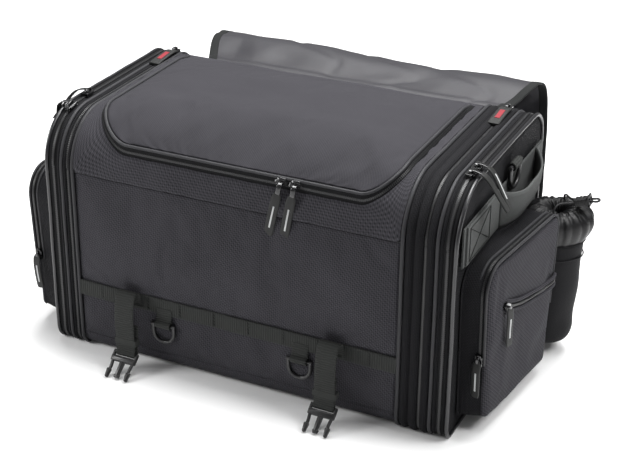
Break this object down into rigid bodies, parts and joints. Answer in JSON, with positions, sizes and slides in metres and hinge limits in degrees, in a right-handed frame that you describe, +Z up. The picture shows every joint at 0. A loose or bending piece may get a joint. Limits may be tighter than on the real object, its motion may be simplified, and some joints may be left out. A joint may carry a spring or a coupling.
{
  "type": "motorcycle tail bag",
  "caption": "Expandable soft motorcycle tail bag with zipped lid, widening ends with zipped doors, box pockets, bottle sleeves, handles, mounting straps and rear cover flap.",
  "frame": {"origin": "centre of the flat base, on its underside", "axes": "+X across the bag to its right end, +Y from the front face to the rear, +Z up"},
  "size_m": [0.6692, 0.4696, 0.2992],
  "materials": {
    "body_fabric": "dense polyester weave, matt",
    "coated_fabric": "coated fine weave, slight sheen",
    "zip_tape": "woven tape with coil teeth",
    "piping": "bound piping, slight sheen",
    "webbing": "ribbed webbing",
    "slider_metal": "gloss black",
    "pull_tab": "woven tab with a pale line",
    "hard_plastic": "moulded acetal, satin",
    "cord": "braided cord",
    "board": "sheet"
  },
  "bodies": {
    "root": {"front_panel": "body_fabric", "top_yoke": "body_fabric", "rear_panel": "body_fabric", "bottom_panel": "body_fabric", "base_board": "board", "lid_zip_lower": "zip_tape", "expansion_zip_inner": "zip_tape", "piping": "piping", "webbing_bands": "webbing"},
    "lid": {"lid_panel": "body_fabric", "lid_zip_upper": "zip_tape"},
    "rear_flap": {"rear_flap": "coated_fabric"},
    "main_slider_left": {"main_slider_left": "slider_metal"},
    "main_pull_left": {"main_pull_left": "pull_tab"},
    "main_slider_right": {"main_slider_right": "slider_metal"},
    "main_pull_right": {"main_pull_right": "pull_tab"},
    "hoop_left": {"end_hoop_left": "body_fabric", "hoop_zips_left": "zip_tape", "gusset_left": "body_fabric"},
    "expansion_slider_left": {"expansion_slider_left": "slider_metal"},
    "end_slider_front_left": {"end_slider_front_left": "slider_metal"},
    "end_slider_rear_left": {"end_slider_rear_left": "slider_metal"},
    "door_left": {"end_panel_left": "body_fabric", "end_zip_outer_left": "zip_tape", "end_webbing_left": "webbing", "pocket_body_left": "body_fabric", "pocket_zip_left": "zip_tape", "bottle_holder_left": "coated_fabric", "drawcord_left": "cord"},
    "handle_left": {"handle_left": "webbing"},
    "dring_end_left": {"dring_end_left": "hard_plastic"},
    "pocket_flap_left": {"pocket_flap_left": "body_fabric"},
    "pocket_slider_left": {"pocket_slider_left": "slider_metal"},
    "slash_slider_left": {"slash_slider_left": "slider_metal"},
    "cord_lock_left": {"cord_lock_left": "hard_plastic"},
    "dring_front_left": {"dring_front_left": "hard_plastic"},
    "hoop_right": {"end_hoop_right": "body_fabric", "hoop_zips_right": "zip_tape", "gusset_right": "body_fabric"},
    "expansion_slider_right": {"expansion_slider_right": "slider_metal"},
    "end_slider_front_right": {"end_slider_front_right": "slider_metal"},
    "end_slider_rear_right": {"end_slider_rear_right": "slider_metal"},
    "door_right": {"end_panel_right": "body_fabric", "end_zip_outer_right": "zip_tape", "end_webbing_right": "webbing", "pocket_body_right": "body_fabric", "pocket_zip_right": "zip_tape", "bottle_holder_right": "coated_fabric", "drawcord_right": "cord"},
    "handle_right": {"handle_right": "webbing"},
    "dring_end_right": {"dring_end_right": "hard_plastic"},
    "pocket_flap_right": {"pocket_flap_right": "body_fabric"},
    "pocket_slider_right": {"pocket_slider_right": "slider_metal"},
    "slash_slider_right": {"slash_slider_right": "slider_metal"},
    "cord_lock_right": {"cord_lock_right": "hard_plastic"},
    "dring_front_right": {"dring_front_right": "hard_plastic"},
    "buckle_front_left": {"buckle_front_left": "hard_plastic"},
    "buckle_front_right": {"buckle_front_right": "hard_plastic"},
    "buckle_rear_left": {"buckle_rear_left": "hard_plastic"},
    "buckle_rear_right": {"buckle_rear_right": "hard_plastic"}
  },
  "joints": [
    {"name": "lid_hinge", "type": "hinge", "parent": "root", "child": "lid", "pos_m": [0, 0.107, 0.29], "axis": [-1, 0, 0], "range_deg": [0, 95]},
    {"name": "flap_hinge", "type": "hinge", "parent": "root", "child": "rear_flap", "pos_m": [0, 0.1425, 0.26], "axis": [1, 0, 0], "range_deg": [0, 55]},
    {"name": "main_slide_left", "type": "slide", "parent": "root", "child": "main_slider_left", "axis": [1, 0, 0], "range_m": [-0.19, 0]},
    {"name": "main_pull_swing_left", "type": "hinge", "parent": "main_slider_left", "child": "main_pull_left", "pos_m": [0.06, -0.142, 0.262], "axis": [-1, 0, 0], "range_deg": [0, 100]},
    {"name": "main_slide_right", "type": "slide", "parent": "root", "child": "main_slider_right", "axis": [1, 0, 0], "range_m": [0, 0.06]},
    {"name": "main_pull_swing_right", "type": "hinge", "parent": "main_slider_right", "child": "main_pull_right", "pos_m": [0.077, -0.142, 0.262], "axis": [-1, 0, 0], "range_deg": [0, 100]},
    {"name": "expand_left", "type": "slide", "parent": "root", "child": "hoop_left", "axis": [-1, 0, 0], "range_m": [0, 0.07], "deforming": ["gusset_left"]},
    {"name": "door_hinge_left", "type": "hinge", "parent": "hoop_left", "child": "door_left", "pos_m": [-0.2285, 0.141, 0.145], "axis": [0, 0, -1], "range_deg": [0, 85]},
    {"name": "expansion_slide_left", "type": "slide", "parent": "hoop_left", "child": "expansion_slider_left", "axis": [0, -1, 0], "range_m": [0, 0.14]},
    {"name": "end_zip_front_left", "type": "hinge", "parent": "hoop_left", "child": "end_slider_front_left", "pos_m": [-0.2285, -0.08, 0.23], "axis": [1, 0, 0], "range_deg": [0, 54]},
    {"name": "end_zip_rear_left", "type": "slide", "parent": "hoop_left", "child": "end_slider_rear_left", "axis": [0, 1, 0], "range_m": [0, 0.14]},
    {"name": "handle_lift_left", "type": "hinge", "parent": "door_left", "child": "handle_left", "pos_m": [-0.2423, 0.0415, 0.253], "axis": [0, 1, 0], "range_deg": [0, 45]},
    {"name": "dring_end_swing_left", "type": "hinge", "parent": "door_left", "child": "dring_end_left", "pos_m": [-0.2447, 0.02, 0.268], "axis": [0, 1, 0], "range_deg": [0, 22]},
    {"name": "pocket_flap_hinge_left", "type": "hinge", "parent": "door_left", "child": "pocket_flap_left", "pos_m": [-0.28802, -0.02897, 0.07], "axis": [0.0279, -0.9996, 0], "range_deg": [0, 80]},
    {"name": "pocket_slide_left", "type": "slide", "parent": "door_left", "child": "pocket_slider_left", "axis": [0.0015, -0.053, 0.9986], "range_m": [0, 0.065]},
    {"name": "slash_slide_left", "type": "slide", "parent": "pocket_flap_left", "child": "slash_slider_left", "axis": [-0.0272, 0.9735, -0.2269], "range_m": [0, 0.11]},
    {"name": "cord_lock_slide_left", "type": "slide", "parent": "door_left", "child": "cord_lock_left", "axis": [-0.9397, 0, 0.342], "range_m": [-0.001, 0.003]},
    {"name": "dring_front_swing_left", "type": "hinge", "parent": "root", "child": "dring_front_left", "pos_m": [-0.087, -0.1456, 0.06], "axis": [-1, 0, 0], "range_deg": [0, 100]},
    {"name": "expand_right", "type": "slide", "parent": "root", "child": "hoop_right", "axis": [1, 0, 0], "range_m": [0, 0.07], "deforming": ["gusset_right"]},
    {"name": "door_hinge_right", "type": "hinge", "parent": "hoop_right", "child": "door_right", "pos_m": [0.2515, 0.141, 0.145], "axis": [0, 0, 1], "range_deg": [0, 85]},
    {"name": "expansion_slide_right", "type": "slide", "parent": "hoop_right", "child": "expansion_slider_right", "axis": [0, -1, 0], "range_m": [0, 0.14]},
    {"name": "end_zip_front_right", "type": "hinge", "parent": "hoop_right", "child": "end_slider_front_right", "pos_m": [0.2515, -0.08, 0.23], "axis": [1, 0, 0], "range_deg": [0, 70]},
    {"name": "end_zip_rear_right", "type": "slide", "parent": "hoop_right", "child": "end_slider_rear_right", "axis": [0, 1, 0], "range_m": [0, 0.14]},
    {"name": "handle_lift_right", "type": "hinge", "parent": "door_right", "child": "handle_right", "pos_m": [0.2653, 0.0415, 0.253], "axis": [0, -1, 0], "range_deg": [0, 45]},
    {"name": "dring_end_swing_right", "type": "hinge", "parent": "door_right", "child": "dring_end_right", "pos_m": [0.2677, 0.02, 0.268], "axis": [0, -1, 0], "range_deg": [0, 22]},
    {"name": "pocket_flap_hinge_right", "type": "hinge", "parent": "door_right", "child": "pocket_flap_right", "pos_m": [0.30173, -0.02822, 0.07], "axis": [0.1323, 0.9912, 0], "range_deg": [0, 80]},
    {"name": "pocket_slide_right", "type": "slide", "parent": "door_right", "child": "pocket_slider_right", "axis": [-0.007, -0.0526, 0.9986], "range_m": [0, 0.065]},
    {"name": "slash_slide_right", "type": "slide", "parent": "pocket_flap_right", "child": "slash_slider_right", "axis": [0.1288, 0.9654, -0.2269], "range_m": [0, 0.11]},
    {"name": "cord_lock_slide_right", "type": "slide", "parent": "door_right", "child": "cord_lock_right", "axis": [0.9397, 0, 0.342], "range_m": [-0.001, 0.003]},
    {"name": "dring_front_swing_right", "type": "hinge", "parent": "root", "child": "dring_front_right", "pos_m": [0.087, -0.1456, 0.06], "axis": [-1, 0, 0], "range_deg": [0, 100]},
    {"name": "buckle_swing_front_left", "type": "hinge", "parent": "root", "child": "buckle_front_left", "pos_m": [-0.127, -0.165, 0.022], "axis": [-1, 0, 0], "range_deg": [0, 85]},
    {"name": "buckle_swing_front_right", "type": "hinge", "parent": "root", "child": "buckle_front_right", "pos_m": [0.127, -0.165, 0.022], "axis": [-1, 0, 0], "range_deg": [0, 85]},
    {"name": "buckle_swing_rear_left", "type": "hinge", "parent": "root", "child": "buckle_rear_left", "pos_m": [-0.127, 0.165, 0.022], "axis": [1, 0, 0], "range_deg": [0, 85]},
    {"name": "buckle_swing_rear_right", "type": "hinge", "parent": "root", "child": "buckle_rear_right", "pos_m": [0.127, 0.165, 0.022], "axis": [1, 0, 0], "range_deg": [0, 85]}
  ]
}
